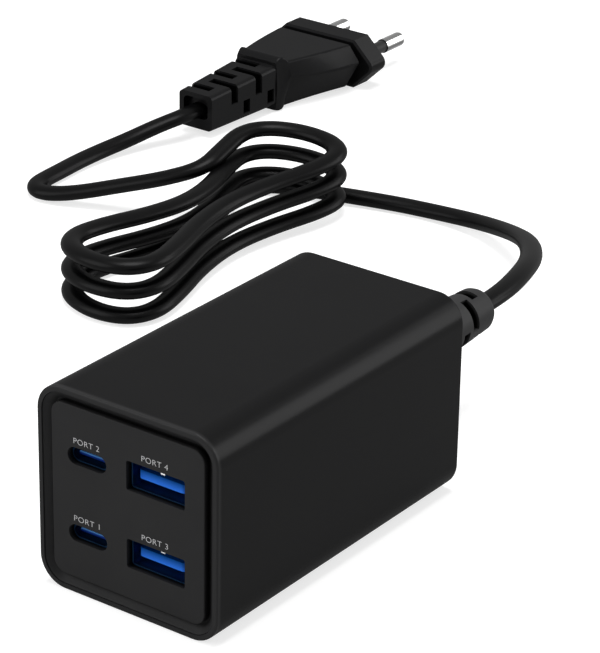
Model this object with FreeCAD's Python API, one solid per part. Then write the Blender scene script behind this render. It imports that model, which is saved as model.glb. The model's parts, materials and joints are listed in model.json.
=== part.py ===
import FreeCAD, Part
import os
from math import acos, atan2, cos, sqrt, tan

# Four-port desktop charger with a bundled mains lead. Millimetres, +Z up, front face towards -Y.
# The origin is the middle of the housing's underside.

V = FreeCAD.Vector

# Housing
width = 43.0
height = 43.0
depth = 80.0
corner_radius = 6.0
edge_round = 0.45
wall = 2.0
rear_wall = 2.4
rim = 1.15
rail_depth = 1.2
rail_thickness = 1.4
rail_clearance = 0.1

# Front panel, seated on the ledge between the rim and the wall
panel_seat = 3.0
panel_gap = 0.1
panel_setback = 0.3
groove_depth = 1.8
panel_margin = 3.3
groove_floor = 0.4
plate_edge_round = 0.25

# Sockets: columns and rows of their centres on the panel
usb_a_column = 6.75
usb_c_column = -9.6
row_middle = 21.2
row_pitch = 16.4
socket_setback = 1.5

usb_a_opening = (13.8, 6.1)
usb_a_opening_corner = 0.5
usb_a_shell_size = (13.1, 5.7)
usb_a_shell_corner = 0.7
usb_a_shell_wall = 0.3
usb_a_tongue_size = (11.1, 1.84)
usb_a_tongue_rise = 0.0
usb_a_tongue_setback = 0.75
usb_a_tongue_corner = 0.9
usb_a_base_length = 5.0
usb_a_contact = (1.0, 6.5, 0.15)
usb_a_contact_columns = (-3.5, -1.0, 1.0, 3.5)
usb_a_contact_inset = 0.6

usb_c_opening = (9.4, 3.6)
usb_c_shell_size = (8.94, 3.26)
usb_c_shell_wall = 0.3
usb_c_tongue_size = (6.69, 0.7)
usb_c_tongue_setback = 0.7
usb_c_tongue_length = 4.2
usb_c_step_size = (7.2, 1.5)
usb_c_base_length = 6.0
usb_c_contact = (0.25, 3.2, 0.1)
usb_c_contact_pitch = 0.5
usb_c_contact_count = 12
usb_c_contact_inset = 0.5
insulator_gap = 0.05

# Boards
board_thickness = 1.6
board_gap = 0.15
socket_length = 14.5
main_board_height = 7.0
main_board_rear_gap = 3.6
sheet_thickness = 0.3
sheet_margin = 0.5

# Parts on the boards: sizes, and places counted from the board's front or rear edge
header_size = (20.0, 2.5, 2.5)
side_clearance = 1.8
transformer_place = 21.5
core_size = (16.0, 6.0, 17.0)
core_yoke = 3.0
core_limb = 5.0
core_leg = 2.5
bobbin_wall = 0.6
bobbin_gap = 0.1
bobbin_flange = 1.0
winding_margin = 0.4
bobbin_reach = 13.0
bulk_radius = 4.0
bulk_height = 18.0
bulk_place = 18.0
bulk_pitch = 10.0
bulk_count = 2
output_radius = 3.5
output_height = 12.0
output_place = 8.0
output_pitch = 7.4
output_count = 3
can_edge_bevel = 0.5
optocoupler_size = (4.6, 6.5, 3.5)
optocoupler_place = 8.0
y_capacitor_radius = 3.5
y_capacitor_thickness = 3.0
y_capacitor_bevel = 0.9
y_capacitor_place = 31.5
x_capacitor_size = (11.0, 7.0, 12.0)
x_capacitor_place = 9.5
choke_radius = 6.2
choke_bore = 3.2
choke_thickness = 5.4
choke_wire = 0.9
choke_place = 9.5
fuse_radius = 2.0
fuse_length = 8.6
fuse_place = 3.0
bridge_size = (7.5, 4.0, 3.0)
bridge_place = 3.2
transistor_size = (6.6, 6.0, 2.3)
control_size = (5.0, 6.0, 1.5)
underside_place = 24.0
underside_column = 5.0
inductor_size = (8.0, 4.0, 8.0)
inductor_column = 9.0
inductor_rise = 9.0
port_chip_size = (6.0, 1.2, 6.0)
port_chip_drop = 3.5
spreader_thickness = 0.8
spreader_top_gap = 3.0
spreader_front = 5.0
spreader_rear = 6.0
wire_radius = 0.8
wire_spread = 1.4
wire_foot_column = 3.0
wire_foot_place = 2.6

# Strain relief and mains lead
relief_length = 39.0
relief_base_radius = 7.0
relief_end_radius = 4.95
relief_end_round = 1.3
relief_collar_radius = 7.9
relief_collar_length = 1.6
relief_neck_radius = 4.8
relief_head_radius = 6.0
relief_head_length = 1.6
relief_core_radius = 3.1
relief_slots = 7
relief_slot_width = 2.4
relief_slot_pitch = 3.7
relief_slot_inset = 6.0
relief_slot_arc = 82.0
relief_slot_lean = -15.0
relief_slot_turn = 74.0

cord_width = 5.2
cord_thickness = 3.6
cord_bevel = 1.05
cord_exit_drop = 0.5

coil_centre = (-93.9, 104.7)
coil_turn = 3.0
coil_half_length = 45.0
coil_lobe_radius = 13.4
coil_waist = 6.2
coil_height = 18.0
coil_saddle = 2.4
coil_lead_overlap = 15.0
coil_tail_overlap = 10.0

# Plug, lying behind the coil; its axis runs along +Y
plug_column = -144.0
plug_tail_end = 164.5
plug_axis_height = 6.85
tail_length = 26.5
tail_end_size = (10.9, 9.8)
tail_root_size = (13.2, 11.2)
tail_root_rise = 0.7
tail_corner = 1.3
tail_pocket = (8.0, 5.6)
tail_pocket_rise = 0.8
tail_pocket_depth = 2.0
tail_slots = 5
tail_slot_width = 2.7
tail_slot_pitch = 5.0
tail_slot_inset = 2.95
tail_slot_past_middle = 2.1
tail_slot_foot = 0.5
tail_window_drop = (-0.35, 3.35)
tail_core = (6.8, 5.4)
collar_length = 4.0
grip_length = 22.5
grip_round = 0.8
neck_length = 2.0
neck_step = 1.2
flange_length = 7.5
flange_half_height = 6.85
flange_flat = 11.6
flange_half_width = 17.65
flange_tip_round = 2.4
flange_edge_bevel = 0.6
pin_radius = 2.0
pin_core_radius = 1.4
pin_sleeve_radius = 1.7
pin_length = 19.0
pin_sleeve_length = 10.0
pin_root = 9.0
pin_spacing = 18.6
pin_tip_round = 1.5

# Sections of the collar's back and crest and of the grip's root, middle and front: half widths of the top,
# the ridges and the underside, then how far these lie above or below the plug's axis
collar_back = ((6.6, 7.0, 6.6), (7.2, 0.3, -6.3))
collar_crest = ((7.0, 7.4, 7.0), (8.3, 0.3, -6.7))
grip_root = ((7.7, 8.7, 6.3), (7.0, 3.0, -6.2))
grip_middle = ((10.0, 12.6, 8.2), (6.7, 1.8, -6.1))
grip_front = ((11.7, 15.2, 10.6), (6.3, 1.9, -6.2))

# Places that follow from the sizes above
front = -depth / 2
back = depth / 2
middle_z = height / 2
inner_half_width = width / 2 - wall
port_board_front = front + socket_setback + socket_length
board_front = port_board_front + board_thickness
board_rear = back - rear_wall - main_board_rear_gap
board_half_width = inner_half_width - board_gap
board_top = main_board_height + board_thickness
spreader_outer = board_half_width - rail_depth
spreader_inner = spreader_outer - spreader_thickness
side_limit = spreader_inner - side_clearance
row_heights = {"upper": row_middle + row_pitch / 2, "lower": row_middle - row_pitch / 2}
relief_end = back + relief_length
cord_exit_height = middle_z - cord_exit_drop
grip_start = plug_tail_end + tail_length + collar_length
plug_face = grip_start + grip_length + neck_length + flange_length

# Points of the free lead, chosen by hand: from the strain relief to the coil, and on to the plug
half_cord = cord_thickness / 2
lead_points = [
    V(0, relief_end, cord_exit_height), V(0, relief_end + 9, cord_exit_height),
    V(-3.5, 102, 20), V(-10.5, 118, 16.5), V(-21.5, 134.5, 12), V(-35, 148, 6.5),
    V(-49, 155.5, 3), V(-62.5, 156.5, half_cord), V(-75, 154.5, half_cord)]
tail_points = [
    V(-112, 127.5, 14), V(-114.2, 121.2, 12.2), V(-119, 116.8, 9.8), V(-126.5, 112.4, 6.6),
    V(-136.5, 108.5, 3.5), V(-143, 106, 2.2), V(-147.7, 105.6, half_cord), V(-151.1, 108.8, half_cord),
    V(-151.9, 113.5, half_cord), V(-152.3, 119.5, half_cord), V(-153, 127, half_cord), V(-152.5, 135.5, 2.2),
    V(-150.5, 144.5, 3.2), V(-147.5, 153, 5.2), V(plug_column, 160, plug_axis_height),
    V(plug_column, plug_tail_end + tail_pocket_depth, plug_axis_height)]


def box(low, high):
    """Block between two opposite corners."""
    size = [b - a for a, b in zip(low, high)]
    return Part.makeBox(*size, V(*low))


def block(size, centre_x, centre_y, base_z):
    """Block that stands on base_z."""
    return box((centre_x - size[0] / 2, centre_y - size[1] / 2, base_z),
               (centre_x + size[0] / 2, centre_y + size[1] / 2, base_z + size[2]))


def rounded_outline(size, radius, y, centre_x=0.0, centre_z=0.0):
    """Closed rounded rectangle in the plane across Y."""
    a, b = size[0] / 2, size[1] / 2
    r = radius
    k = r * (1 - sqrt(0.5))
    edges = []
    for sx, sz, along_first in ((1, 1, False), (-1, 1, True), (-1, -1, False), (1, -1, True)):
        beside = V(sx * a, y, sz * (b - r))
        above = V(sx * (a - r), y, sz * b)
        through = V(sx * (a - k), y, sz * (b - k))
        first, last = (above, beside) if along_first else (beside, above)
        edges.append((first, through, last))
    shape = []
    for (first, through, last), following in zip(edges, edges[1:] + edges[:1]):
        shape.append(Part.Arc(first, through, last).toShape())
        if last.distanceToPoint(following[0]) > 1e-6:
            shape.append(Part.LineSegment(last, following[0]).toShape())
    wire = Part.Wire(shape)
    wire.translate(V(centre_x, 0, centre_z))
    return wire


def prism(outline, length):
    """Solid made by pushing a closed outline back along +Y."""
    return Part.Face(outline).extrude(V(0, length, 0))


def rounded_prism(size, radius, y0, y1, centre_x=0.0, centre_z=0.0):
    return prism(rounded_outline(size, radius, y0, centre_x, centre_z), y1 - y0)


def polygon(points):
    return Part.makePolygon(points + points[:1])


def cylinder_y(radius, y0, y1, x, z):
    return Part.makeCylinder(radius, y1 - y0, V(x, y0, z), V(0, 1, 0))


def edges_at(shape, y):
    """Edges that lie in the plane at y."""
    return [e for e in shape.Edges if abs(e.BoundBox.YMin - y) < 1e-6 and abs(e.BoundBox.YMax - y) < 1e-6]


def inset(amount):
    """Size of the housing's outline, drawn in by the same amount all round."""
    return width - 2 * amount, height - 2 * amount


def housing():
    body = rounded_prism(inset(0), corner_radius, front, back, 0, middle_z)
    body = body.makeFillet(edge_round, edges_at(body, front) + edges_at(body, back))
    seat = front + panel_seat
    body = body.cut(rounded_prism(inset(rim), corner_radius - rim, front, seat, 0, middle_z))
    body = body.cut(rounded_prism(inset(wall), corner_radius - wall, seat, back - rear_wall, 0, middle_z))
    body = body.cut(cylinder_y(relief_neck_radius, back - rear_wall, back, 0, cord_exit_height))
    for side in (-1, 1):
        inner = side * (inner_half_width - rail_depth)
        outer = side * (inner_half_width + wall / 2)
        low_x, high_x = min(inner, outer), max(inner, outer)
        for z in (main_board_height - rail_thickness, board_top + rail_clearance):
            rail_end = (high_x, back - rear_wall / 2, z + rail_thickness)
            body = body.fuse(box((low_x, board_front, z), rail_end))
    return body.removeSplitter()


def front_panel():
    edge = rim + panel_gap
    face = front + panel_setback
    floor = front + groove_depth
    foot = panel_margin - groove_floor
    plate = rounded_prism(inset(edge), corner_radius - edge, face, front + panel_seat, 0, middle_z)
    slope_top = rounded_outline(inset(edge), corner_radius - edge, face, 0, middle_z)
    slope_foot = rounded_outline(inset(foot), corner_radius - foot, floor, 0, middle_z)
    slope = Part.makeLoft([slope_top, slope_foot], True, True)
    raised = rounded_prism(inset(panel_margin), corner_radius - panel_margin, face, floor, 0, middle_z)
    raised = raised.makeFillet(plate_edge_round, edges_at(raised, face))
    panel = plate.cut(slope).fuse(raised)
    for row in row_heights.values():
        panel = panel.cut(rounded_prism(usb_a_opening, usb_a_opening_corner, front, front + panel_seat,
                                        usb_a_column, row))
        panel = panel.cut(stadium(usb_c_opening, front, front + panel_seat, usb_c_column, row))
    return panel.removeSplitter()


def stadium(size, y0, y1, x, z):
    return rounded_prism(size, size[1] / 2, y0, y1, x, z)


def smaller(size, amount):
    return size[0] - 2 * amount, size[1] - 2 * amount


def usb_a_shell(row):
    y0 = front + socket_setback
    outer = rounded_prism(usb_a_shell_size, usb_a_shell_corner, y0, port_board_front, usb_a_column, row)
    return outer.cut(rounded_prism(smaller(usb_a_shell_size, usb_a_shell_wall),
                                   usb_a_shell_corner - usb_a_shell_wall, y0, port_board_front,
                                   usb_a_column, row))


def usb_a_tongue(row):
    inside = usb_a_shell_wall + insulator_gap
    base_start = port_board_front - usb_a_base_length
    tip = front + socket_setback + usb_a_tongue_setback
    base = rounded_prism(smaller(usb_a_shell_size, inside), usb_a_shell_corner - inside,
                         base_start, port_board_front, usb_a_column, row)
    half_width, half_height = usb_a_tongue_size[0] / 2, usb_a_tongue_size[1] / 2
    centre = row + usb_a_tongue_rise
    tongue = box((usb_a_column - half_width, tip, centre - half_height),
                 (usb_a_column + half_width, base_start, centre + half_height))
    corners = [e for e in edges_upright(tongue) if e.BoundBox.YMax < tip + 1e-6]
    return tongue.makeFillet(usb_a_tongue_corner, corners).fuse(base).removeSplitter()


def edges_upright(shape):
    """Straight edges that run along Z."""
    return [e for e in shape.Edges if e.BoundBox.ZLength > 1e-6
            and e.BoundBox.XLength < 1e-6 and e.BoundBox.YLength < 1e-6]


def usb_a_contacts(row):
    underside = row + usb_a_tongue_rise - usb_a_tongue_size[1] / 2
    start = front + socket_setback + usb_a_tongue_setback + usb_a_contact_inset
    w, length, t = usb_a_contact
    strips = [box((usb_a_column + x - w / 2, start, underside - t),
                  (usb_a_column + x + w / 2, start + length, underside)) for x in usb_a_contact_columns]
    return Part.makeCompound(strips)


def usb_c_shell(row):
    y0 = front + socket_setback
    outer = stadium(usb_c_shell_size, y0, port_board_front, usb_c_column, row)
    return outer.cut(stadium(smaller(usb_c_shell_size, usb_c_shell_wall), y0, port_board_front,
                             usb_c_column, row))


def usb_c_tongue(row):
    tip = front + socket_setback + usb_c_tongue_setback
    step = tip + usb_c_tongue_length
    base_start = port_board_front - usb_c_base_length
    base = stadium(smaller(usb_c_shell_size, usb_c_shell_wall + insulator_gap),
                   base_start, port_board_front, usb_c_column, row)
    tongue = stadium(usb_c_tongue_size, tip, step, usb_c_column, row)
    root = stadium(usb_c_step_size, step, base_start, usb_c_column, row)
    return base.fuse([tongue, root]).removeSplitter()


def usb_c_contacts(row):
    start = front + socket_setback + usb_c_tongue_setback + usb_c_contact_inset
    w, length, t = usb_c_contact
    surface = usb_c_tongue_size[1] / 2
    strips = []
    for i in range(usb_c_contact_count):
        x = usb_c_column + (i - (usb_c_contact_count - 1) / 2) * usb_c_contact_pitch
        for base in (row + surface, row - surface - t):
            strips.append(box((x - w / 2, start, base), (x + w / 2, start + length, base + t)))
    return Part.makeCompound(strips)


def port_board():
    return rounded_prism(inset(wall + board_gap), corner_radius - wall - board_gap,
                         port_board_front, board_front, 0, middle_z)


def main_board():
    return box((-board_half_width, board_front, main_board_height), (board_half_width, board_rear, board_top))


def insulating_sheet():
    half = width / 2 - corner_radius - sheet_margin
    return box((-half, board_front + sheet_margin, wall), (half, board_rear, wall + sheet_thickness))


def board_header():
    return block(header_size, 0, board_front + header_size[1] / 2, board_top)


def transformer_parts():
    """Ferrite core with a window each side of its limb, a bobbin on the limb and a winding on that."""
    x, y = core_size[0] / 2 - side_limit, board_front + transformer_place
    core = block(core_size, x, y, board_top)
    window_height = core_size[2] - 2 * core_yoke
    window_width = core_size[0] / 2 - core_leg - core_limb / 2
    low = board_top + core_yoke
    for side in (-1, 1):
        centre = x + side * (core_limb + window_width) / 2
        core = core.cut(block((window_width, core_size[1], window_height), centre, y, low))
    bore = (core_limb + 2 * bobbin_gap, core_size[1] + 2 * bobbin_gap)
    tube = (bore[0] + 2 * bobbin_wall, bore[1] + 2 * bobbin_wall)
    flange = (core_limb + 2 * window_width - 2 * bobbin_gap, bobbin_reach)
    bobbin = block((*tube, window_height), x, y, low)
    for z in (low, low + window_height - bobbin_flange):
        bobbin = bobbin.fuse(block((*flange, bobbin_flange), x, y, z))
    bobbin = bobbin.cut(block((*bore, window_height), x, y, low))
    wound_height = window_height - 2 * bobbin_flange
    winding = block((*smaller(flange, winding_margin), wound_height), x, y, low + bobbin_flange)
    winding = winding.makeFillet(1.0, edges_upright(winding))
    winding = winding.cut(block((*tube, wound_height), x, y, low + bobbin_flange))
    return core, bobbin.removeSplitter(), winding


def can(radius, length, x, y):
    """Upright capacitor can with a bevelled top edge."""
    body = Part.makeCylinder(radius, length, V(x, y, board_top))
    top = [e for e in body.Edges if e.BoundBox.ZMin > board_top + length - 1e-6]
    return body.makeChamfer(can_edge_bevel, top)


def bulk_capacitors():
    x = side_limit - bulk_radius
    return Part.makeCompound([can(bulk_radius, bulk_height, x, board_front + bulk_place + i * bulk_pitch)
                              for i in range(bulk_count)])


def output_capacitors():
    x, y = output_radius - side_limit, board_front + output_place
    return Part.makeCompound([can(output_radius, output_height, x + i * output_pitch, y)
                              for i in range(output_count)])


def choke_parts():
    """Ring core standing on the board, with a winding over each side."""
    x, y = choke_radius + choke_wire - side_limit, board_rear - choke_place
    z = board_top + choke_radius + choke_wire
    y0, y1 = y - choke_thickness / 2, y + choke_thickness / 2
    core = cylinder_y(choke_radius, y0, y1, x, z).cut(cylinder_y(choke_bore, y0, y1, x, z))
    windings = []
    for turn in (-60, 120):
        sector = Part.makeCylinder(choke_radius + choke_wire, choke_thickness + 2 * choke_wire,
                                   V(x, y0 - choke_wire, z), V(0, 1, 0), 120)
        sector.rotate(V(x, y, z), V(0, 1, 0), turn)
        bore = cylinder_y(choke_bore - choke_wire, y0 - choke_wire, y1 + choke_wire, x, z)
        windings.append(sector.cut(bore).cut(core))
    return core, Part.makeCompound(windings)


def fuse_link():
    start = V(-side_limit, board_rear - fuse_place, board_top + fuse_radius)
    return Part.makeCylinder(fuse_radius, fuse_length, start, V(1, 0, 0))


def y_capacitor():
    x, y = core_size[0] / 2 - side_limit, board_front + y_capacitor_place
    half = y_capacitor_thickness / 2
    disc = cylinder_y(y_capacitor_radius, y - half, y + half, x, board_top + y_capacitor_radius)
    return disc.makeChamfer(y_capacitor_bevel, edges_at(disc, y - half) + edges_at(disc, y + half))


def on_port_board(size, centre_z):
    """Two alike blocks on the back of the port board, one each side."""
    y, z = board_front + size[1] / 2, centre_z - size[2] / 2
    return Part.makeCompound([block(size, x, y, z) for x in (-inductor_column, inductor_column)])


def output_inductors():
    return on_port_board(inductor_size, middle_z + inductor_rise)


def port_chips():
    return on_port_board(port_chip_size, middle_z - port_chip_drop)


def beside_wall(size, y):
    """Block on the main board along its right side."""
    return block(size, side_limit - size[0] / 2, y, board_top)


def under_board(size, x):
    return block(size, x, board_front + underside_place, main_board_height - size[2])


def heat_spreader():
    outer, inner = spreader_outer, spreader_inner
    top = height - wall - spreader_top_gap
    y0, y1 = board_front + spreader_front, board_rear - spreader_rear
    sheet = box((-outer, y0, board_top), (outer, y1, top))
    sheet = sheet.cut(box((-inner, y0, board_top), (inner, y1, top - spreader_thickness)))
    bends = [e for e in sheet.Edges if e.BoundBox.YLength > 1 and e.BoundBox.ZMin > top - 1e-6]
    return sheet.makeFillet(spreader_thickness, bends)


def run_path(points):
    """Straight runs joined by arcs that take up 0.45 of the shorter run at each point."""
    edges = []
    radii = []
    start = points[0]
    for before, at, after in zip(points, points[1:], points[2:]):
        into, out = (at - before), (after - at)
        reach = 0.45 * min(into.Length, out.Length)
        into.normalize()
        out.normalize()
        half_turn = into.getAngle(out) / 2
        radius = reach / tan(half_turn)
        towards = (out - into).normalize()
        arc_start, arc_end = at - into * reach, at + out * reach
        arc_middle = at + towards * (radius / cos(half_turn) - radius)
        edges.append(Part.LineSegment(start, arc_start).toShape())
        edges.append(Part.Arc(arc_start, arc_middle, arc_end).toShape())
        radii.append(round(radius, 1))
        start = arc_end
    edges.append(Part.LineSegment(start, points[-1]).toShape())
    return Part.Wire(edges), radii


def flat_section(at, along):
    """Upright eight-sided outline of the flat lead across its direction, broad faces up and down."""
    up = V(0, 0, 1)
    side = along.cross(up).normalize()
    a, b = cord_width / 2, half_cord
    k = cord_bevel
    corners = [(a, k - b), (a, b - k), (a - k, b), (k - a, b),
               (-a, b - k), (-a, k - b), (k - a, -b), (a - k, -b)]
    return polygon([at + side * x + up * z for x, z in corners])


def flat_cord(points, name):
    path, radii = run_path(points)
    section = flat_section(points[0], points[1] - points[0])
    sweep = Part.BRepOffsetAPI.MakePipeShell(path)
    sweep.setBiNormalMode(V(0, 0, 1))
    sweep.add(section)
    sweep.build()
    sweep.makeSolid()
    solid = sweep.shape()
    expected = Part.Face(section).Area * path.Length
    print(name, "radii", radii, "length", round(path.Length, 1),
          "volume share", round(solid.Volume / expected, 4))
    return solid


def wire_tube(points):
    path, _ = run_path(points)
    ring = Part.Wire([Part.makeCircle(wire_radius, points[0], points[1] - points[0])])
    return path.makePipeShell([ring], True, False)


def supply_wire(side):
    """Insulated core from the strain relief's inner head down to the main board."""
    start = back - rear_wall - relief_head_length
    foot = board_rear - wire_foot_place
    drop = cord_exit_height - board_top
    x0, x1 = side * wire_spread, side * wire_foot_column
    return wire_tube([V(x0, start, cord_exit_height), V(x0, foot, cord_exit_height),
                      V(x1, foot, board_top + drop / 2), V(x1, foot, board_top)])


def strain_relief():
    """Tapered sleeve that narrows towards the lead, with pairs of slots turned from ring to ring."""
    wall_face = back - rear_wall
    head = wall_face - relief_head_length
    collar = back + relief_collar_length
    corners = [V(0, head, 0), V(relief_head_radius, head, 0), V(relief_head_radius, wall_face, 0),
               V(relief_neck_radius, wall_face, 0), V(relief_neck_radius, back, 0),
               V(relief_collar_radius, back, 0), V(relief_collar_radius, collar, 0),
               V(relief_base_radius, collar, 0), V(relief_end_radius, relief_end - relief_end_round, 0),
               V(relief_end_radius - 0.3 * relief_end_round, relief_end - 0.3 * relief_end_round, 0),
               V(relief_end_radius - relief_end_round, relief_end, 0), V(0, relief_end, 0)]
    sleeve = Part.Face(polygon(corners)).revolve(V(0, 0, 0), V(0, 1, 0), 360)
    sleeve = Part.Solid(sleeve) if sleeve.ShapeType == "Shell" else sleeve
    for ring in range(relief_slots):
        y = relief_end - relief_slot_inset - ring * relief_slot_pitch
        for half in (0, 180):
            slot = Part.makeCylinder(relief_collar_radius, relief_slot_width,
                                     V(0, y, 0), V(0, 1, 0), relief_slot_arc)
            slot = slot.cut(cylinder_y(relief_core_radius, y, y + relief_slot_width, 0, 0))
            turn = half + relief_slot_lean + ring * relief_slot_turn - relief_slot_arc / 2
            slot.rotate(V(0, 0, 0), V(0, 1, 0), turn)
            sleeve = sleeve.cut(slot)
    sleeve.translate(V(0, 0, cord_exit_height))
    return sleeve


def coil_outline(offset):
    """Peanut line of the coil's turns, moved out by the offset: two end arcs and two waist arcs."""
    reach = coil_half_length - coil_lobe_radius
    waist_radius = ((coil_waist ** 2 + reach ** 2 - coil_lobe_radius ** 2)
                    / (2 * (coil_lobe_radius - coil_waist)))
    towards = V(coil_waist + waist_radius, -reach, 0).normalize()
    lobe = coil_lobe_radius + offset
    x, y = towards.x * lobe, reach + towards.y * lobe
    waist = coil_waist + offset
    arcs = [(V(x, y, 0), V(0, reach + lobe, 0), V(-x, y, 0)), (V(-x, y, 0), V(-waist, 0, 0), V(-x, -y, 0)),
            (V(-x, -y, 0), V(0, -reach - lobe, 0), V(x, -y, 0)), (V(x, -y, 0), V(waist, 0, 0), V(x, y, 0))]
    return Part.Wire([Part.Arc(*arc).toShape() for arc in arcs])


def cord_coil():
    """Outer shape of the wound turns, lower at the waist, with the ends of the lead leaving it."""
    upwards = V(0, 0, coil_height)
    ring = Part.Face(coil_outline(cord_width / 2)).extrude(upwards)
    ring = ring.cut(Part.Face(coil_outline(-cord_width / 2)).extrude(upwards))
    saddle_radius = (coil_half_length ** 2 + coil_saddle ** 2) / (2 * coil_saddle)
    reach = coil_lobe_radius + cord_width
    saddle = Part.makeCylinder(saddle_radius, 2 * reach,
                               V(-reach, 0, coil_height - coil_saddle + saddle_radius), V(1, 0, 0))
    ring = ring.cut(saddle)
    ring.rotate(V(0, 0, 0), V(0, 0, 1), coil_turn)
    ring.translate(V(*coil_centre, 0))
    for end, beside, overlap in ((lead_points[-1], lead_points[-2], coil_lead_overlap),
                                 (tail_points[0], tail_points[1], coil_tail_overlap)):
        inwards = (end - beside).normalize()
        ring = ring.fuse(Part.Face(flat_section(end, inwards)).extrude(inwards * overlap))
    return ring.removeSplitter()


def six_sided(half_widths, rises, y):
    """Corners of an outline across the plug's axis: level top and underside, a ridge along each side."""
    right = list(zip(half_widths, rises))
    left = [(-x, z) for x, z in reversed(right)]
    return [V(plug_column + x, y, plug_axis_height + z) for x, z in right + left]


def softened(corners, radius):
    """Closed outline through the corners, each of them rounded by an arc."""
    edges = []
    ends = []
    for before, at, after in zip(corners[-1:] + corners[:-1], corners, corners[1:] + corners[:1]):
        into, out = (at - before).normalize(), (after - at).normalize()
        half_turn = into.getAngle(out) / 2
        reach = radius * tan(half_turn)
        towards = (out - into).normalize()
        middle = at + towards * (radius / cos(half_turn) - radius)
        ends.append((at - into * reach, middle, at + out * reach))
    for (start, middle, end), following in zip(ends, ends[1:] + ends[:1]):
        edges.append(Part.Arc(start, middle, end).toShape())
        edges.append(Part.LineSegment(end, following[0]).toShape())
    return Part.Wire(edges)


def tail_slot(y, across, up):
    """Block between two pairs of limits, counted from the plug's axis."""
    return box((plug_column + min(across), y, plug_axis_height + min(up)),
               (plug_column + max(across), y + tail_slot_width, plug_axis_height + max(up)))


def plug_tail():
    """Tapered flexible tail: a pocket round the lead, then rings with a slot over one top corner each.

    Past the first ring, the other side has a low window."""
    root = plug_tail_end + tail_length
    tail = Part.makeLoft([rounded_outline(tail_end_size, tail_corner, plug_tail_end,
                                          plug_column, plug_axis_height),
                          rounded_outline(tail_root_size, tail_corner, root,
                                          plug_column, plug_axis_height + tail_root_rise)], True, True)
    tail = tail.cut(rounded_prism(tail_pocket, tail_corner, plug_tail_end,
                                  plug_tail_end + tail_pocket_depth,
                                  plug_column, plug_axis_height + tail_pocket_rise))
    reach = tail_root_size[0]
    half_core = (tail_core[0] / 2, tail_core[1] / 2)
    for ring in range(tail_slots):
        y = plug_tail_end + tail_slot_inset + ring * tail_slot_pitch
        side = 1 if ring % 2 else -1
        over = tail_slot(y, (-side * tail_slot_past_middle, side * reach), (tail_slot_foot, reach))
        over = over.cut(tail_slot(y, (-half_core[0], half_core[0]), (-half_core[1], half_core[1])))
        window = tail_slot(y, (-side * half_core[0], -side * reach),
                           (-tail_window_drop[0], -tail_window_drop[1]))
        tail = tail.cut(over)
        if ring:
            tail = tail.cut(window)
    return tail


def sharp_tip():
    """Where the flange's sides would meet if its tips weren't rounded to the flange's half width."""
    centre = flange_half_width - flange_tip_round
    across, up = flange_flat - centre, flange_half_height
    lean = atan2(up, across) - acos(flange_tip_round / sqrt(across ** 2 + up ** 2))
    return centre + flange_tip_round / cos(lean)


def through(*stations):
    """Smooth solid through sections along the plug's axis, with soft ridges."""
    return Part.makeLoft([softened(six_sided(*section, y), grip_round) for section, y in stations], True, False)


def plug_grip():
    """Upright collar that falls away into a finger grip, which spreads towards the neck."""
    collar_start = grip_start - collar_length
    collar = through((collar_back, collar_start), (collar_crest, collar_start + collar_length * 0.4),
                     (grip_root, grip_start))
    grip = through((grip_root, grip_start), (grip_middle, grip_start + grip_length / 2),
                   (grip_front, grip_start + grip_length))
    return [collar, grip]


def plug_flange():
    """Broad front of the plug: level top and underside, rounded tips."""
    start = plug_face - flange_length
    corners = six_sided((flange_flat, sharp_tip(), flange_flat),
                        (flange_half_height, 0, -flange_half_height), start)
    flange = prism(polygon(corners), flange_length)
    tips = [e for e in flange.Edges if e.BoundBox.YLength > flange_length / 2
            and abs(e.BoundBox.ZMin - plug_axis_height) < 1e-6]
    flange = flange.makeFillet(flange_tip_round, tips)
    return flange.makeChamfer(flange_edge_bevel, edges_at(flange, start) + edges_at(flange, plug_face))


def plug_body():
    """One moulding: slotted tail, collar, spreading grip, neck and the broad front flange."""
    half_widths, rises = grip_front
    corners = six_sided([w - neck_step for w in half_widths],
                        (rises[0] - neck_step, rises[1], rises[2] + neck_step), grip_start + grip_length)
    neck = prism(softened(corners, grip_round), neck_length)
    body = plug_tail().fuse([*plug_grip(), neck, plug_flange()])
    for x in pin_columns():
        body = body.cut(cylinder_y(pin_core_radius, plug_face - pin_root, plug_face, x, plug_axis_height))
    return body.removeSplitter()


def pin_columns():
    return plug_column - pin_spacing / 2, plug_column + pin_spacing / 2


def plug_pins():
    """Round pins: a slim stretch in the moulding and the sleeve, then the full bare tip."""
    pins = []
    for x in pin_columns():
        bare = plug_face + pin_sleeve_length
        tip = cylinder_y(pin_radius, bare, plug_face + pin_length, x, plug_axis_height)
        tip = tip.makeFillet(pin_tip_round, edges_at(tip, plug_face + pin_length))
        pins.append(tip.fuse(cylinder_y(pin_core_radius, plug_face - pin_root, bare, x, plug_axis_height)))
    return Part.makeCompound(pins)


def plug_pin_sleeves():
    end = plug_face + pin_sleeve_length
    return Part.makeCompound([
        cylinder_y(pin_sleeve_radius, plug_face, end, x, plug_axis_height).cut(
            cylinder_y(pin_core_radius, plug_face, end, x, plug_axis_height)) for x in pin_columns()])


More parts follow.
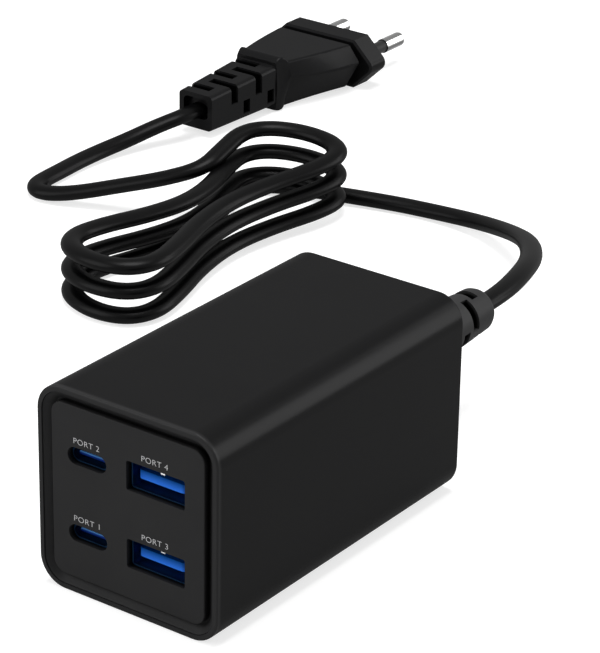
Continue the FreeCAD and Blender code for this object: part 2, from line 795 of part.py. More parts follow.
def all_nodes():
    nodes = {"housing": housing(), "front_panel": front_panel(), "port_board": port_board(),
             "main_board": main_board(), "insulating_sheet": insulating_sheet(),
             "board_header": board_header(), "heat_spreader": heat_spreader()}
    for level, row in row_heights.items():
        nodes["usb_a_shell_" + level] = usb_a_shell(row)
        nodes["usb_a_tongue_" + level] = usb_a_tongue(row)
        nodes["usb_a_contacts_" + level] = usb_a_contacts(row)
        nodes["usb_c_shell_" + level] = usb_c_shell(row)
        nodes["usb_c_tongue_" + level] = usb_c_tongue(row)
        nodes["usb_c_contacts_" + level] = usb_c_contacts(row)
    core, bobbin, winding = transformer_parts()
    nodes.update(transformer_core=core, transformer_bobbin=bobbin, transformer_winding=winding)
    ring, turns = choke_parts()
    nodes.update(choke_core=ring, choke_winding=turns, fuse=fuse_link(), y_capacitor=y_capacitor(),
                 bulk_capacitors=bulk_capacitors(), output_capacitors=output_capacitors(),
                 output_inductors=output_inductors(), port_chips=port_chips())
    nodes["optocoupler"] = beside_wall(optocoupler_size, board_front + optocoupler_place)
    nodes["x_capacitor"] = beside_wall(x_capacitor_size, board_rear - x_capacitor_place)
    nodes["bridge_rectifier"] = beside_wall(bridge_size, board_rear - bridge_place)
    nodes["switch_transistor"] = under_board(transistor_size, underside_column)
    nodes["control_chip"] = under_board(control_size, -underside_column)
    nodes["live_wire"] = supply_wire(-1)
    nodes["neutral_wire"] = supply_wire(1)
    nodes["strain_relief"] = strain_relief()
    nodes["cord_lead"] = flat_cord(lead_points, "cord_lead")
    nodes["cord_coil"] = cord_coil()
    nodes["cord_tail"] = flat_cord(tail_points, "cord_tail")
    nodes.update(plug_body=plug_body(), plug_pins=plug_pins(), plug_pin_sleeves=plug_pin_sleeves())
    return nodes


os.makedirs("parts", exist_ok=True)
for name, shape in all_nodes().items():
    shape.exportStep("parts/" + name + ".step")
    print(name, "solids", len(shape.Solids), "valid", shape.isValid(), "volume", round(shape.Volume, 2))
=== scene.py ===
# %% [markdown]
# A desktop charger with a bundled mains lead. It could be built here from primitives, but its sizes would
# drift from the real ones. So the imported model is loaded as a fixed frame: it gives the true sizes and stays
# where it is. What we add sits on it, in metres, with +Z up and the sockets facing -Y.

# %% Load the frame
import json
from math import cos, pi, radians, sin

import bpy
from mathutils import Matrix, Vector


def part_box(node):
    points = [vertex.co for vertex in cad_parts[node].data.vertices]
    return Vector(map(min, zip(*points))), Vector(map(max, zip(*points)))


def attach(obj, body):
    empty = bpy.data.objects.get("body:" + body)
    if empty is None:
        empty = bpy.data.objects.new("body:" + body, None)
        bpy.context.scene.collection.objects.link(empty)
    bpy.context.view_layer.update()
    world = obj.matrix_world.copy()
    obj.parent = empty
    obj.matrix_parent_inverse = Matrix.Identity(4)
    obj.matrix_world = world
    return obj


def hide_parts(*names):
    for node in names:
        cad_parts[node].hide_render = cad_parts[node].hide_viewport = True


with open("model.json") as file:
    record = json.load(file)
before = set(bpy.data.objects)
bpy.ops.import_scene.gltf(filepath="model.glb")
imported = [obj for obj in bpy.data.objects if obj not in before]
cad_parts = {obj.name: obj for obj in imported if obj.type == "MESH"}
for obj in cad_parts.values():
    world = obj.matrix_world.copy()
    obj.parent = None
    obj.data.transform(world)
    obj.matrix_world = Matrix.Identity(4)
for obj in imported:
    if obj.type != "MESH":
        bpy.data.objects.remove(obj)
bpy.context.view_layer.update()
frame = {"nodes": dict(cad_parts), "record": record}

nodes = frame["nodes"]
scene = bpy.context.scene

# %% [markdown]
# The camera was matched to the edges of the housing, so its place, its turn and its long lens are plain
# numbers. A tracking constraint could aim it, but plain turns also give the small roll, which is the tilt of
# the picture itself. A long lens from over half a metre keeps the box nearly free of converging lines.

# %% Camera
camera_place = (0.31527, -0.42164, 0.28851)
around, above, roll = radians(35.89), radians(24.79), radians(1.02)
camera_data = bpy.data.cameras.new("camera")
camera_data.sensor_width = 36
camera_data.lens = 166.35
camera = bpy.data.objects.new("camera", camera_data)
scene.collection.objects.link(camera)
unrolled = Matrix.Rotation(around, 4, "Z") @ Matrix.Rotation(pi / 2 - above, 4, "X")
turned = unrolled @ Matrix.Rotation(roll, 4, "Z")
camera.matrix_world = Matrix.Translation(camera_place) @ turned
scene.camera = camera
print("camera", [round(v, 4) for v in camera.location], camera_data.lens)

# %% [markdown]
# The mains lead is one length of flat twin flex. It leaves the strain relief, drops to the table in a wide
# arc, is wound into three loose peanut-shaped turns, and goes on to the plug. A line of control points
# carries it. The two free stretches can't be put in a formula, so their points are listed one by one, in
# millimetres: the way in to the turns, and the way out to the plug.

# %% Free stretches of the lead
lead_in = [(0, 79, 21), (0, 88, 21), (-3.5, 102, 20), (-10.5, 118, 16.5), (-21.5, 134.5, 12),
           (-35, 148, 6.5), (-49, 155.5, 3), (-62.5, 156.5, 1.8), (-75, 154.5, 1.8)]
lead_out = [(-108.5, 130, 15), (-108, 122, 13), (-115.5, 116.5, 10), (-126.5, 112.4, 6.6),
            (-136.5, 108.5, 3.5), (-143, 106, 2.2), (-147.7, 105.6, 1.8), (-151.1, 108.8, 1.8),
            (-151.9, 113.5, 1.8), (-152.3, 119.5, 1.8), (-153, 127, 1.8), (-152.5, 135.5, 2.2),
            (-150.5, 144.5, 3.2), (-147.5, 153, 5.2), (-144, 160, 6.85), (-144, 166.5, 6.85)]
print("points in", len(lead_in), "and out", len(lead_out))

# %% [markdown]
# A wound turn is a long loop with a pinched waist. Points set by hand would make each turn a little lumpy, so
# the turns are one formula: a stretched circle, a wave of three times its speed that pinches it, and small
# waves that make it lean and its two ends differ, as in a bundle wound by hand. After the first stretch on
# the table, each turn climbs by about one and a half times the flex's thickness, and most at its two ends.

# %% Wound turns
coil_middle = (-93.9, 104.7)
half_length, half_width, pinch = 44.7, 12.3, 6.4
lean, waist_skew = 2.3, 0.6
end_bow, end_skew, end_shift = 1.0, 1.9, 0.85
on_table, climb, end_climb = 1.8, 5.6, 0.57
first_angle, climb_angle, last_angle, angle_step = 90, 278, 1206, 18


def turn_point(angle):
    """Control point at an angle in degrees, which counts on through all the turns."""
    turn = radians(angle)
    climbed = max(0.0, (angle - climb_angle) / 360)
    x = (coil_middle[0] + half_width * cos(turn) - pinch * cos(3 * turn) - lean * sin(turn)
         + waist_skew * sin(3 * turn))
    y = (coil_middle[1] + half_length * sin(turn) + end_bow * cos(2 * turn) + end_skew * sin(2 * turn)
         + end_shift * cos(turn))
    return x, y, on_table + (climb + end_climb * sin(turn) ** 2) * climbed


turns = [turn_point(angle) for angle in range(first_angle, last_angle + 1, angle_step)]
route = [Vector(p) / 1000 for p in lead_in + turns + lead_out]
print("route points", len(route), "of which in the turns", len(turns))

# %% [markdown]
# A curve object can carry the lead. Handles on every point would take long to even out. A NURBS spline of
# order three runs smoothly inside its points instead, so nothing looks like bent wire. While it is still a
# bare line, it is read as a mesh for a moment, and that mesh is removed again unused.

# %% A curve along the route


def open_spline(name, points):
    """A smooth open curve guided by the points."""
    data = bpy.data.curves.new(name, "CURVE")
    data.dimensions = "3D"
    data.resolution_u = 8
    spline = data.splines.new("NURBS")
    spline.points.add(len(points) - 1)
    for slot, place in zip(spline.points, points):
        slot.co = (*place, 1)
    spline.order_u = 3
    spline.use_endpoint_u = True
    curve = bpy.data.objects.new(name, data)
    scene.collection.objects.link(curve)
    return curve


flex = open_spline("mains_flex", route)
line = bpy.data.meshes.new_from_object(flex)
bpy.data.meshes.remove(line)

# %% [markdown]
# The flex isn't round: two insulated wires lie side by side under one flat sheath. A round bevel would be
# quicker, but it would look like another lead. So the curve is dressed with a section of its own, a circle
# pressed flat, and the twist is held upright so that the broad side stays level all the way along.

# %% Flat section of the flex
flex_width, flex_thickness = 0.0052, 0.0036
bpy.ops.object.select_all(action="DESELECT")
bpy.ops.curve.primitive_nurbs_circle_add(radius=1)
section = bpy.context.object
section.data.resolution_u = 3
for slot in section.data.splines[0].points:
    slot.co.x *= flex_width / 2
    slot.co.y *= flex_thickness / 2
flex.data.bevel_mode = "OBJECT"
flex.data.bevel_object = section
flex.data.use_fill_caps = True
flex.data.twist_mode = "Z_UP"
bpy.ops.object.select_all(action="DESELECT")
flex.select_set(True)
bpy.context.view_layer.objects.active = flex
bpy.ops.object.convert(target="MESH")
bpy.data.objects.remove(section)
bpy.ops.object.shade_smooth()
low_flex = min(v.co.z for v in flex.data.vertices)
print("flex mesh", len(flex.data.polygons), "lowest", round(low_flex * 1000, 2), "mm")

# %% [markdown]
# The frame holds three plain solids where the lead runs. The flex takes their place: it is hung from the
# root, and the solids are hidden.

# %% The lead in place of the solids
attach(flex, "root")
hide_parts("cord_lead", "cord_coil", "cord_tail")

# %% [markdown]
# Finishes are sums on sockets. Adding and linking each node in turn takes several lines and hides the sum.
# One small class holds a socket of a material's tree instead, so that ordinary Python sums add the Math
# nodes, and one method adds any other node with its settings and its inputs.

# %% Sums on shader sockets


class Value:
    """A socket in a node tree, a material's or the world's."""

    def __init__(self, tree, socket=None):
        self.tree = tree
        self.socket = socket

    def node(self, kind, settings=(), inputs=(), out=0):
        """Adds a node, sets it up, fills or links its inputs and gives back one of its outputs."""
        made = self.tree.nodes.new(kind)
        for name, setting in dict(settings).items():
            setattr(made, name, setting)
        for name, given in dict(inputs).items():
            if isinstance(given, Value):
                self.tree.links.new(given.socket, made.inputs[name])
            else:
                made.inputs[name].default_value = given
        return Value(self.tree, made.outputs[out]) if len(made.outputs) else None

    def outputs(self):
        """All outputs of the node that this socket is on, by name."""
        return {socket.name: Value(self.tree, socket) for socket in self.socket.node.outputs}

    def sum(self, operation, a, b):
        return self.node("ShaderNodeMath", {"operation": operation}, {0: a, 1: b})

    def __add__(self, other):
        return self.sum("ADD", self, other)

    __radd__ = __add__

    def __sub__(self, other):
        return self.sum("SUBTRACT", self, other)

    def __rsub__(self, other):
        return self.sum("SUBTRACT", other, self)

    def __mul__(self, other):
        return self.sum("MULTIPLY", self, other)

    __rmul__ = __mul__

    def __mod__(self, other):
        return self.sum("FLOORED_MODULO", self, other)

    def size(self):
        return self.sum("ABSOLUTE", self, 0)

    def at_least(self, other):
        return self.sum("MAXIMUM", self, other)

    def share(self, start, end):
        """Nought at the start, one at the end, and held there."""
        return self.node("ShaderNodeMapRange", {}, {"Value": self, "From Min": start, "From Max": end})


# %% [markdown]
# Every finish starts as an empty material, ends in an output node, and reads a point's place on its piece.
# Two colours are blended by a Mix node, because a Math node would turn them grey.

# %% Parts that every finish needs


def new_material(name):
    """An empty material and the start of its node tree."""
    material = bpy.data.materials.new(name)
    material.use_nodes = True
    material.node_tree.nodes.clear()
    return material, Value(material.node_tree)


def close_material(tree, shader):
    tree.node("ShaderNodeOutputMaterial", {}, {"Surface": shader})


def object_place(tree):
    """A point's place in the piece's own coordinates."""
    return tree.node("ShaderNodeTexCoord").outputs()["Object"]


def axes_of(tree, place):
    """The x, y and z of a place."""
    return list(tree.node("ShaderNodeSeparateXYZ", {}, {"Vector": place}).outputs().values())


def blended(tree, share, first, second):
    """From the first colour at nought to the second at one."""
    return tree.node("ShaderNodeMix", {"data_type": "RGBA"}, {0: share, 6: first, 7: second}, out=2)


# %% [markdown]
# Most of what shows is moulded plastic. Real mouldings have a fine spark-eroded grain that scatters light, a
# slower unevenness in gloss where hands have polished them, and a hardly visible drift in tone. Pictures of
# plastic would need a file and a layout. Here all three come from noise on the piece's own coordinates: grain
# as bump, the others as roughness and colour. Plated metal is made in the same way, with Metallic at one.

# %% Moulded plastic
patch_unevenness, grain_unevenness, skin_smoothness = 0.12, 0.06, 0.8


def moulded(name, colour, rough, gloss=0.5, skin=0.0, grain=0.00028, depth=0.03, drift=0.12, patch=0.012,
            metal=0.0, second=None, blend=None, matt=False):
    """Moulded or plated stuff: a tone that drifts, uneven gloss and a fine grain. Sizes are in metres.

    A second colour, where there is one, comes in as blend says for a point's x, y and z. It may be matt."""
    material, tree = new_material(name)
    place = object_place(tree)
    patches = tree.node("ShaderNodeTexNoise", {}, {"Vector": place, "Scale": 1 / patch, "Detail": 3.0})
    fine = tree.node("ShaderNodeTexNoise", {}, {"Vector": place, "Scale": 1 / grain, "Detail": 2.0})
    paler = [min(1.0, c * (1 + drift)) for c in colour]
    darker = [c * (1 - drift) for c in colour]
    tone = blended(tree, patches, (*darker, 1), (*paler, 1))
    if second:
        there = blend(*axes_of(tree, place))
        tone = blended(tree, there, tone, (*second, 1))
        skin = skin * (1 - there) if matt else skin
    uneven = (patches - 0.5) * patch_unevenness + (fine - 0.5) * grain_unevenness + rough
    bump = tree.node("ShaderNodeBump", {}, {"Strength": depth, "Distance": grain, "Height": fine})
    close_material(tree, tree.node("ShaderNodeBsdfPrincipled", {}, {
        "Base Color": tone, "Roughness": uneven, "Normal": bump, "Metallic": metal,
        "Specular IOR Level": gloss, "Coat Weight": skin, "Coat Roughness": rough * skin_smoothness}))
    return material


# %% [markdown]
# Some finishes change across their piece. A painted image could say where, but a sum on the point's own place
# needs no file and stays sharp however close we look. The sums need landmarks, and the frame has them. Here
# are the first two. The front rim of the case is painted paler than the rest: a painted highlight, standing in
# for the light from the front that falls on it. The groove round the panel is painted dark: a painted shade in
# the recess. Both are told by their depth behind the front. The groove's painted shade also keeps inside a
# rounded square, so that the sloping border outside it has the panel's own tone.

# %% Painted rim highlight and groove shade
case_low, case_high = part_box("housing")
case_front, case_middle = case_low[1], (case_low[2] + case_high[2]) / 2
panel_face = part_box("front_panel")[0][1]
rim_full, rim_end = 0.0004, 0.0012
groove_straight, groove_corner, groove_full = 0.0155, 0.0031, 0.0029
groove_top, groove_foot = 0.0003, 0.0011


def painted_rim_highlight(x, y, z):
    """Painted highlight along the front edge of the case."""
    return y.share(case_front + rim_end, case_front + rim_full)


def painted_groove_shade(x, y, z):
    """Painted shade at the foot of the raised plate, inside a rounded outline, and on the walls of the
    openings.
    """
    across = (x.size() - groove_straight).at_least(0)
    up = ((z - case_middle).size() - groove_straight).at_least(0)
    inside = (across * across + up * up).share(groove_corner ** 2, groove_full ** 2)
    return inside * y.share(panel_face + groove_top, panel_face + groove_foot)


print("rim at", round(case_front * 1000, 2), "mm, groove from", round((panel_face + groove_top) * 1000, 2),
      "to", round((panel_face + groove_foot) * 1000, 2), "mm")

# %% [markdown]
# The metal shells of the sockets are painted dark navy, a painted shade inside the sockets, and bluer past
# their cut front edge, a painted reflection of the blue tongue. An A tongue is painted bright at its lower
# edge, a painted highlight, and dark on its upper part under the shell, a painted shade. A C tongue has a
# painted highlight, a pale line along its upper edge over navy. The two rows of sockets are alike, so one
# finish serves both: height is taken modulo the row pitch.

# %% Shells and tongues, with painted light
shell_low, shell_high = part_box("usb_a_shell_lower")
shell_front, row_height = shell_low[1], (shell_low[2] + shell_high[2]) / 2
row_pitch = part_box("usb_a_shell_upper")[0][2] - shell_low[2]
half_row = row_pitch / 2
cut_edge, shell_inside = 0.0002, 0.0012
tongue_bright, tongue_dark = -0.0006, 0.0009
edge_navy, edge_pale = 0.0000, 0.0002


def above_row(z):
    """Height above the middle of the nearer row."""
    return (z - row_height + half_row) % row_pitch - half_row


def painted_tongue_reflection(x, y, z):
    """Painted reflection of the tongue, inside a shell past its cut front edge."""
    return y.share(shell_front + cut_edge, shell_front + shell_inside)


def painted_tongue_light_and_shade(x, y, z):
    """Painted shade on the upper part of an A tongue, with a painted highlight below it."""
    return above_row(z).share(tongue_bright, tongue_dark)


def painted_edge_highlight(x, y, z):
    """Painted highlight along the upper edge of a C tongue."""
    return above_row(z).share(edge_navy, edge_pale)


print("lower row at", round(row_height * 1000, 2), "mm, upper row", round(row_pitch * 1000, 2), "mm above it")

# %% [markdown]
# The lead has a flexible end at the charger and one at the plug, both slotted so that they bend with it.
# Hardly any light gets into the slots. Real shade does most of that, and painted shade does the rest: what
# lies deeper than the skin is painted black and without sheen. The skin of the strain relief is a cone. That
# of the plug's tail is a block that widens and rises towards the grip. Past the grip, the neck behind the
# flange gets the same painted shade.

# %% Painted shade in the slots of the flexible ends
relief_axis, relief_start, relief_radius, relief_taper = 0.021, 0.0416, 0.0067, 0.0568
relief_fade, relief_last, relief_end = 0.0006, 0.0772, 0.0776
plug_low, plug_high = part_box("plug_body")
plug_column, plug_axis, plug_end = (plug_low[0] + plug_high[0]) / 2, 0.00685, plug_low[1]
tail_length, tail_widening, tail_rise, tail_heightening = 0.0265, 0.00115, 0.0007, 0.0007
tail_side, tail_side_dark, tail_top, tail_top_dark = 0.0051, 0.0047, 0.00455, 0.00415
pocket_end, pocket_dark, root_fade = 0.0022, 0.0026, 0.0002
neck_behind_face, neck_half, neck_dark = 0.0085, 0.0011, 0.0009
tail_root, plug_neck = plug_end + tail_length, plug_high[1] - neck_behind_face


def relief_slot_shade(x, y, z):
    """Painted shade deeper than the skin of the tapered sleeve, short of its end."""
    up = z - relief_axis
    skin = relief_radius - relief_taper * (y - relief_start)
    deeper = skin - relief_fade
    return (x * x + up * up).share(skin * skin, deeper * deeper) * y.share(relief_end, relief_last)


def plug_slot_shade(x, y, z):
    """Painted shade inside the slotted tail, past its pocket, and round the neck behind the flange."""
    along = y.share(plug_end, tail_root)
    across = (x - plug_column).size() - tail_widening * along
    up = (z - plug_axis - tail_rise * along).size() - tail_heightening * along
    inside = across.share(tail_side, tail_side_dark) * up.share(tail_top, tail_top_dark)
    past_pocket = y.share(plug_end + pocket_end, plug_end + pocket_dark)
    before_root = y.share(tail_root + root_fade, tail_root - root_fade)
    neck = (y - plug_neck).size().share(neck_half, neck_dark)
    return (inside * past_pocket * before_root).at_least(neck)


print("tail ends at", round(tail_root * 1000, 2), "mm, neck at", round(plug_neck * 1000, 2), "mm")

# %% [markdown]
# The plug's pins are nickel-plated rods. Polished metal mirrors what is round it, so on white ground a pin
# nearly vanishes. In a studio, dark cards beside it would help. Here the finish paints such reflections
# instead: a painted bright stripe between two painted dark ones, which run along the top and the underside,
# and the tips are painted dark too.

# %% Painted reflections on the pins
pin_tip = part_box("plug_pins")[1][1]
upper_start, upper_full, upper_share = 0.0013, 0.0016, 0.8
lower_start, lower_full, lower_share = 0.0007, 0.0000, 0.95
tip_start, tip_full, tip_share = 0.0007, 0.0002, 0.9


def painted_pin_reflections(x, y, z):
    """Painted dark reflections along the top and the underside of the pins, and round their tips."""
    up = z - plug_axis
    upper = upper_share * up.share(upper_start, upper_full)
    lower = lower_share * up.share(lower_start, lower_full)
    tip = tip_share * y.share(pin_tip - tip_start, pin_tip - tip_full)
    return upper.at_least(lower).at_least(tip)


print("pin tips at", round(pin_tip * 1000, 2), "mm")

# %% [markdown]
# The record gives every node a stuff, and this table gives every stuff a finish. The black mouldings have
# no gloss of their own: a thin coat, their skin, gives them a satin sheen that stays dark at a low angle.
# What is inside the case has the colours that such components usually have.

# %% Table of finishes
unlit = (0.001, 0.001, 0.001)
finishes = {
    # The case's paler second colour is a painted highlight on its front rim.
    "case_plastic": moulded("satin_case_plastic", (0.0050, 0.0050, 0.0052), 0.34, gloss=0.0, skin=0.12,
                            second=(0.021, 0.021, 0.0215), blend=painted_rim_highlight),
    # The panel's dark second colour is painted shade in its groove and on the walls of its openings.
    "panel_plastic": moulded("satin_panel_plastic", (0.021, 0.021, 0.0215), 0.5, gloss=0.0, skin=0.1,
                             second=(0.004, 0.004, 0.0042), blend=painted_groove_shade),
    # The shells' dark navy is painted shade, and their bluer inside is a painted reflection of the tongue.
    "socket_metal": moulded("shell_painted_shade", (0.013, 0.04, 0.095), 0.4, metal=1.0, grain=0.0004,
                            second=(0.02, 0.1, 0.3), blend=painted_tongue_reflection),
    # The A tongue's bright lower edge is a painted highlight, and its dark second colour higher up is painted
    # shade.
    "blue_insulator": moulded("blue_tongue_plastic", (0.025, 0.155, 0.68), 0.38, gloss=0.02,
                              second=(0.0005, 0.045, 0.2), blend=painted_tongue_light_and_shade),
    # The C tongue's pale second colour is a painted highlight along its upper edge.
    "dark_insulator": moulded("navy_tongue_plastic", (0.002, 0.02, 0.16), 0.38, gloss=0.02,
                              second=(0.07, 0.22, 0.52), blend=painted_edge_highlight),
    "contact_metal": moulded("gold_plated_contact", (0.83, 0.58, 0.22), 0.25, metal=1.0, grain=0.0002),
    "board": moulded("green_lacquered_board", (0.02, 0.12, 0.05), 0.3),
    "black_component": moulded("black_resin_component", (0.015, 0.015, 0.016), 0.55),
    "ferrite": moulded("grey_ferrite", (0.05, 0.05, 0.054), 0.7, depth=0.2),
    "bobbin_plastic": moulded("black_bobbin_plastic", (0.02, 0.02, 0.02), 0.4),
    "winding": moulded("enamelled_copper", (0.5, 0.19, 0.05), 0.35, metal=1.0, grain=0.0005, depth=0.4),
    "can_sleeve": moulded("shrunk_can_sleeve", (0.03, 0.05, 0.08), 0.3),
    "film_capacitor": moulded("yellow_resin_box", (0.7, 0.45, 0.03), 0.35),
    "disc_capacitor": moulded("blue_dipped_resin", (0.04, 0.15, 0.5), 0.25),
    "fuse_case": moulded("fuse_moulding", (0.07, 0.07, 0.07), 0.4),
    "spreader_sheet": moulded("mill_aluminium", (0.6, 0.6, 0.62), 0.38, metal=1.0),
    "insulating_film": moulded("insulating_film", (0.55, 0.52, 0.42), 0.45),
    "live_insulation": moulded("brown_wire_sheath", (0.16, 0.06, 0.025), 0.4),
    "neutral_insulation": moulded("blue_wire_sheath", (0.03, 0.1, 0.36), 0.4),
    "flex": moulded("flex_sheath", (0.001, 0.001, 0.0011), 0.41, gloss=0.0, skin=0.15),
    # The plug's black second colour is painted shade in the slots of its tail and round its neck.
    "plug_moulding": moulded("plug_moulding", (0.0075, 0.0075, 0.0078), 0.26, gloss=0.0, skin=0.085,
                             second=unlit, blend=plug_slot_shade, matt=True),
    # The pins' dark second colour is painted reflection, in stripes and at the tips.
    "pin_metal": moulded("nickel_pin", (0.74, 0.74, 0.73), 0.25, metal=1.0, grain=0.0003, depth=0.01,
                         second=(0.05, 0.05, 0.051), blend=painted_pin_reflections),
    "pin_sleeve": moulded("pin_sleeve_plastic", (0.01, 0.01, 0.01), 0.45, gloss=0.1),
}
print("finishes", len(finishes))

# %% [markdown]
# Dressing the frame is one loop over the record, which keeps finishes and nodes in step. The strain relief is
# listed with the flex, because the two are moulded together, but it is a duller rubber with painted shade in
# slots of its own, so it gets a finish to itself afterwards. The flex is the piece that we added, so it is
# dressed by name.

# %% Dress the frame's nodes and the flex


def dress(thing, material):
    thing.data.materials.clear()
    thing.data.materials.append(material)


for row in frame["record"]["subparts"]:
    dress(nodes[row["node"]], finishes[row["material_slot"]])
# The relief's black second colour is painted shade in its slots.
dress(nodes["strain_relief"], moulded("relief_rubber", (0.026, 0.026, 0.0265), 0.5, gloss=0.0, skin=0.13,
                                      second=unlit, blend=relief_slot_shade, matt=True))
dress(flex, finishes["flex"])

# %% [markdown]
# Each socket has a small pale mark above it, pad printed: a layer of ink a few hundredths of a millimetre
# thick. It could be a picture on the panel, but a mesh keeps its edges sharp. So it is text turned into a
# mesh, its doubled points merged and its faces turned outwards, fitted to its width and height, then stood
# against the panel. What it says is plain: a port and its number.

# %% Printed marks
ink = moulded("pale_ink", (0.5, 0.5, 0.51), 0.6, gloss=0.1, drift=0.05)
mark_width, mark_height = 0.0062, 0.00115
stroke_thinning, letter_spacing, text_depth, ink_depth_scale = -0.012, 1.08, 0.01, 0.0016
left_column, right_column = -0.0097, 0.0066


def printed_mark(words, middle_x, low_z):
    """Ink on the panel, from text."""
    bpy.ops.object.select_all(action="DESELECT")
    bpy.ops.object.text_add(location=(0, 0, 0))
    mark = bpy.context.object
    mark.data.body = words
    mark.data.align_x = "CENTER"
    mark.data.offset = stroke_thinning
    mark.data.space_character = letter_spacing
    mark.data.extrude = text_depth
    mark.name = "mark_" + words.lower().replace(" ", "_")
    bpy.ops.object.convert(target="MESH")
    bpy.ops.object.mode_set(mode="EDIT")
    bpy.ops.mesh.select_all(action="SELECT")
    bpy.ops.mesh.remove_doubles(threshold=0.00001)
    bpy.ops.mesh.normals_make_consistent(inside=False)
    bpy.ops.object.mode_set(mode="OBJECT")
    bpy.ops.object.shade_flat()
    span = mark.dimensions
    mark.scale = (mark_width / span.x, mark_height / span.y, ink_depth_scale)
    mark.rotation_euler = (pi / 2, 0, 0)
    mark.location = (middle_x, panel_face, low_z)
    bpy.ops.object.transform_apply(location=True, rotation=True, scale=True)
    dress(mark, ink)
    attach(mark, "root")
    return mark


for words, middle_x, low_z in (("PORT 2", left_column, 0.0320), ("PORT 1", left_column, 0.0156),
                               ("PORT 4", right_column, 0.0334), ("PORT 3", right_column, 0.0169)):
    mark = printed_mark(words, middle_x, low_z)
    print(mark.name, len(mark.data.polygons))

# %% [markdown]
# Inside the shell of an A socket, a sprung finger is pressed out of the top wall to hold the plug. It is a
# strip of bright steel: rooted in the wall, it slopes down to a knuckle near the mouth and turns up again in
# a short lip, the one bright spot there. It could be cut from a block, but we draw it as such a strip is
# bent. A small plane is the root, its front edge is extruded bend by bend, and modifiers round the bends
# and give the strip its thickness.

# %% Sprung fingers
bright_spring = moulded("bright_spring_steel", (0.8, 0.8, 0.82), 0.22, metal=1.0, grain=0.0004)
finger_width, finger_thickness, root_length, bend_rounding = 0.00095, 0.00012, 0.0006, 0.00012
finger_aside, finger_behind_mouth, shell_wall = 0.0008, 0.0033, 0.0003
finger_bends = [(0, -0.0017, -0.00024), (0, -0.0009, -0.0004), (0, -0.00022, -0.00004),
                (0, -0.00012, 0.00052)]


def select_front_edge(strip, root):
    """Selects the edge in front of the root, and nothing else."""
    for corner in strip.data.vertices:
        corner.select = corner.co.y < root.y
    for edge in strip.data.edges:
        edge.select = all(strip.data.vertices[n].select for n in edge.vertices)
    for face in strip.data.polygons:
        face.select = False


def sprung_finger(name, shell):
    """Finger under the top wall of a shell, its lip at the mouth."""
    low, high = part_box(shell)
    root = Vector(((low[0] + high[0]) / 2 + finger_aside, low[1] + finger_behind_mouth,
                   high[2] - shell_wall - finger_thickness / 2))
    bpy.ops.object.select_all(action="DESELECT")
    bpy.ops.mesh.primitive_plane_add(size=1)
    finger = bpy.context.object
    finger.name = name
    finger.scale = (finger_width, root_length, 1)
    finger.location = root
    bpy.ops.object.transform_apply(location=True, rotation=True, scale=True)
    select_front_edge(finger, root)
    bpy.ops.object.mode_set(mode="EDIT")
    bpy.ops.mesh.select_mode(type="EDGE")
    for bend in finger_bends:
        bpy.ops.mesh.extrude_edges_move(TRANSFORM_OT_translate={"value": bend})
    bpy.ops.object.mode_set(mode="OBJECT")
    rounding = finger.modifiers.new("rounding", "BEVEL")
    rounding.width, rounding.segments, rounding.affect = bend_rounding, 3, "EDGES"
    rounding.limit_method, rounding.angle_limit = "ANGLE", radians(5)
    strip = finger.modifiers.new("strip", "SOLIDIFY")
    strip.thickness, strip.offset = finger_thickness, 0
    for modifier in ("rounding", "strip"):
        bpy.ops.object.modifier_apply(modifier=modifier)
    dress(finger, bright_spring)
    bpy.ops.object.shade_smooth_by_angle(angle=radians(40))
    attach(finger, "root")
    return finger


for level in ("upper", "lower"):
    finger = sprung_finger("spring_" + level, "usb_a_shell_" + level)
    corners = [v.co for v in finger.data.vertices]
    print(finger.name, len(finger.data.polygons), "y", round(min(c.y for c in corners) * 1000, 2),
          "z", [round(f(c.z for c in corners) * 1000, 2) for f in (min, max)])

# %% [markdown]
# The charger stands on a plain white sweep. More light on the floor would whiten it, but would also turn the
# black plastic grey. So the floor is an ordinary pale floor to the lamps, and it is lifted to white only for
# what the camera and the reflections see. Near the charger the lift is partial, so the shadow stays. Far off,
# where less lamp light falls, it is full.

# %% Floor
floor_size, lamp_tone, seen_tone = 8, 0.65, 0.45
near_lift, far_lift, near_radius, far_radius = 0.7, 1.0, 0.45, 1.5


def grey(level):
    return (level, level, level, 1)


def seen_rays(tree):
    """One where a ray comes from the camera, a reflection or a clear piece."""
    rays = tree.node("ShaderNodeLightPath").outputs()
    return rays["Is Camera Ray"].at_least(rays["Is Glossy Ray"]).at_least(rays["Is Transmission Ray"])


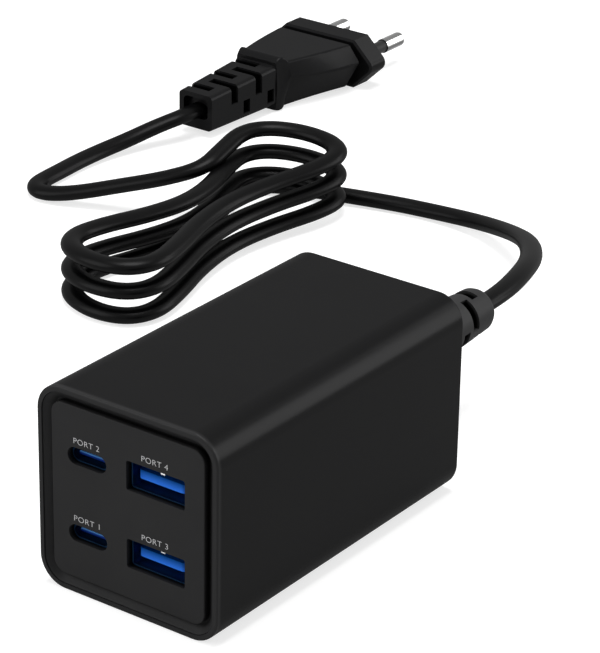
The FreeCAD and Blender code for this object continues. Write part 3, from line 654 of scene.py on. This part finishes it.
bpy.ops.object.select_all(action="DESELECT")
bpy.ops.mesh.primitive_plane_add(size=floor_size)
floor = bpy.context.object
floor.name = "floor"
floor_material, tree = new_material("pale_floor")
lit = tree.node("ShaderNodeBsdfDiffuse", {}, {"Color": grey(lamp_tone)})
seen = tree.node("ShaderNodeBsdfDiffuse", {}, {"Color": grey(seen_tone)})
x, y, z = axes_of(tree, object_place(tree))
far_off = (x * x + y * y).share(near_radius ** 2, far_radius ** 2)
lift = blended(tree, far_off, grey(near_lift), grey(far_lift))
glow = tree.node("ShaderNodeEmission", {}, {"Color": lift, "Strength": 1.0})
lifted = tree.node("ShaderNodeAddShader", {}, {0: seen, 1: glow})
close_material(tree, tree.node("ShaderNodeMixShader", {}, {0: seen_rays(tree), 1: lit, 2: lifted}))
dress(floor, floor_material)
print("floor", [round(v, 2) for v in floor.dimensions])

# %% [markdown]
# Past the edge of the floor is the world. It is white to the camera and in reflections too, but dim as a
# light, because light from all sides would flatten the shapes.

# %% Surroundings
dim_strength, white_strength = 0.2, 1.0
world = bpy.data.worlds.new("studio")
scene.world = world
world.use_nodes = True
world.node_tree.nodes.clear()
tree = Value(world.node_tree)
dim = tree.node("ShaderNodeBackground", {}, {"Color": grey(1), "Strength": dim_strength})
white = tree.node("ShaderNodeBackground", {}, {"Color": grey(1), "Strength": white_strength})
tree.node("ShaderNodeOutputWorld", {}, {
    "Surface": tree.node("ShaderNodeMixShader", {}, {0: seen_rays(tree), 1: dim, 2: white})})
print("world", world.name)

# %% [markdown]
# Black satin plastic shows little but its reflections, so the lamps are placed for those. One overhead lights
# the tops. One at the front left lights the panel. A large one, far off behind on the right, runs along the
# rounded upper edge of the case as a broad soft band, and a small one behind picks out the plug. They are
# area lamps, because a point lamp would leave hard spots. The Standard view shows colours as they are
# written.

# %% Lamps


def softbox(name, place, towards, size, power):
    """A rectangular lamp at a place, turned towards a point."""
    data = bpy.data.lights.new(name, "AREA")
    data.shape = "RECTANGLE"
    data.size, data.size_y = size
    data.energy = power
    lamp = bpy.data.objects.new(name, data)
    scene.collection.objects.link(lamp)
    lamp.location = place
    lamp.rotation_euler = (Vector(towards) - Vector(place)).to_track_quat("-Z", "Y").to_euler()


softbox("overhead", place=(-0.05, 0.1, 0.9), towards=(-0.05, 0.05, 0), size=(0.5, 0.5), power=9)
softbox("front_left", place=(-0.7, -0.75, 0.55), towards=(0, 0, 0.02), size=(0.9, 0.9), power=8.5)
softbox("back_right", place=(1.57, 1.9, 0.66), towards=(0, 0, 0.035), size=(1.1, 1.6), power=33)
softbox("plug_kicker", place=(0.42, 1.37, 0.78), towards=(-0.13, 0.22, 0.01), size=(0.35, 0.35), power=2.4)
scene.view_settings.view_transform = "Standard"
